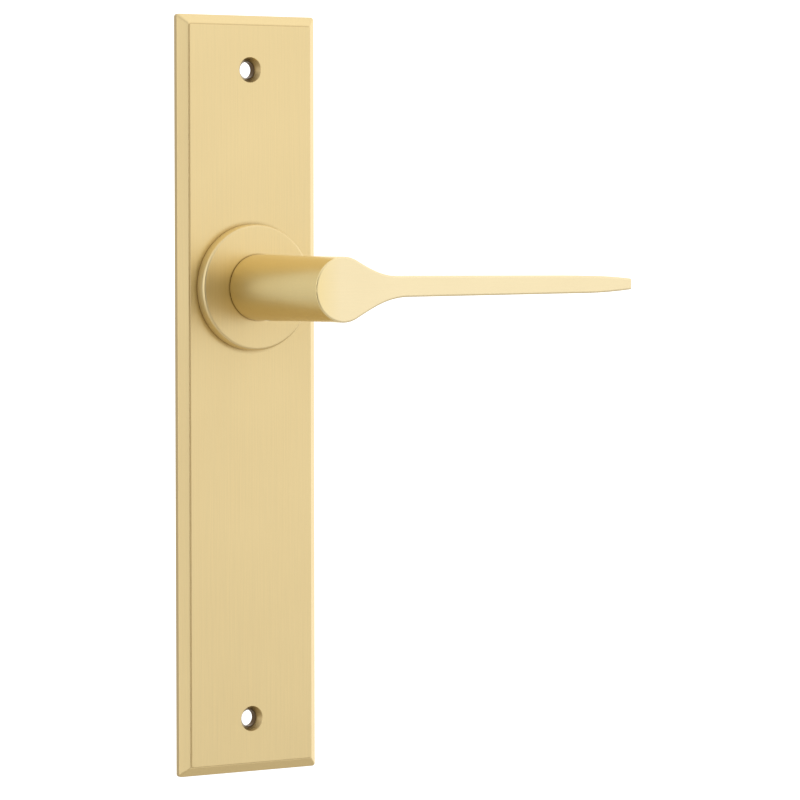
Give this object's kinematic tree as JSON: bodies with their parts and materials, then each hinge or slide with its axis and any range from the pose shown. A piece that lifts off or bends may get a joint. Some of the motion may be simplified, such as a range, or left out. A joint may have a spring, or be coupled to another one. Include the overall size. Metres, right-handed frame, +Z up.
{
  "type": "lever handle",
  "caption": "Satin brass lever handle on a long bevelled backplate, with a sprung lever, round rose and square spindle.",
  "frame": {"origin": "where the lever's turning axis meets the back of the plate, which lies on the door face", "axes": "+Y into the door along the lever's axis, +Z up along the plate, +X from the axis to the lever's tip"},
  "size_m": [0.133, 0.0833, 0.237],
  "materials": {
    "satin_brass_plate": "satin, brushed along the plate's height",
    "satin_brass_rose": "satin, brushed straight up and down",
    "satin_brass_lever": "satin",
    "zinc_steel": "zinc plated",
    "pin_steel": "ground",
    "screw_steel": "zinc plated",
    "spring_steel": "oil tempered wire",
    "cast_zinc": "as cast",
    "black_steel": "black oxide",
    "nylon": "moulded, natural"
  },
  "bodies": {
    "backplate_set": {"backplate": "satin_brass_plate", "rose": "satin_brass_rose", "cover_plate": "zinc_steel", "neck_bush": "nylon", "rear_bush": "nylon", "rest_stop_pin": "pin_steel", "travel_stop_pin": "pin_steel", "spring_anchor_pin": "pin_steel", "cover_screw_1": "screw_steel", "cover_screw_2": "screw_steel", "cover_screw_3": "screw_steel", "cover_screw_4": "screw_steel"},
    "lever_set": {"lever": "satin_brass_lever", "spindle": "zinc_steel", "spring_driver": "cast_zinc", "return_spring": "spring_steel", "thrust_washer": "zinc_steel", "wave_washer": "spring_steel", "circlip": "black_steel", "lever_grub_screw": "black_steel"}
  },
  "joints": [
    {"name": "lever_turn", "type": "hinge", "parent": "backplate_set", "child": "lever_set", "pos_m": [0, 0, 0], "axis": [0, 1, 0], "range_deg": [0, 45], "stiffness_Nm_per_rad": 0.25, "springref_deg": -89.95, "deforming": ["return_spring"]}
  ]
}
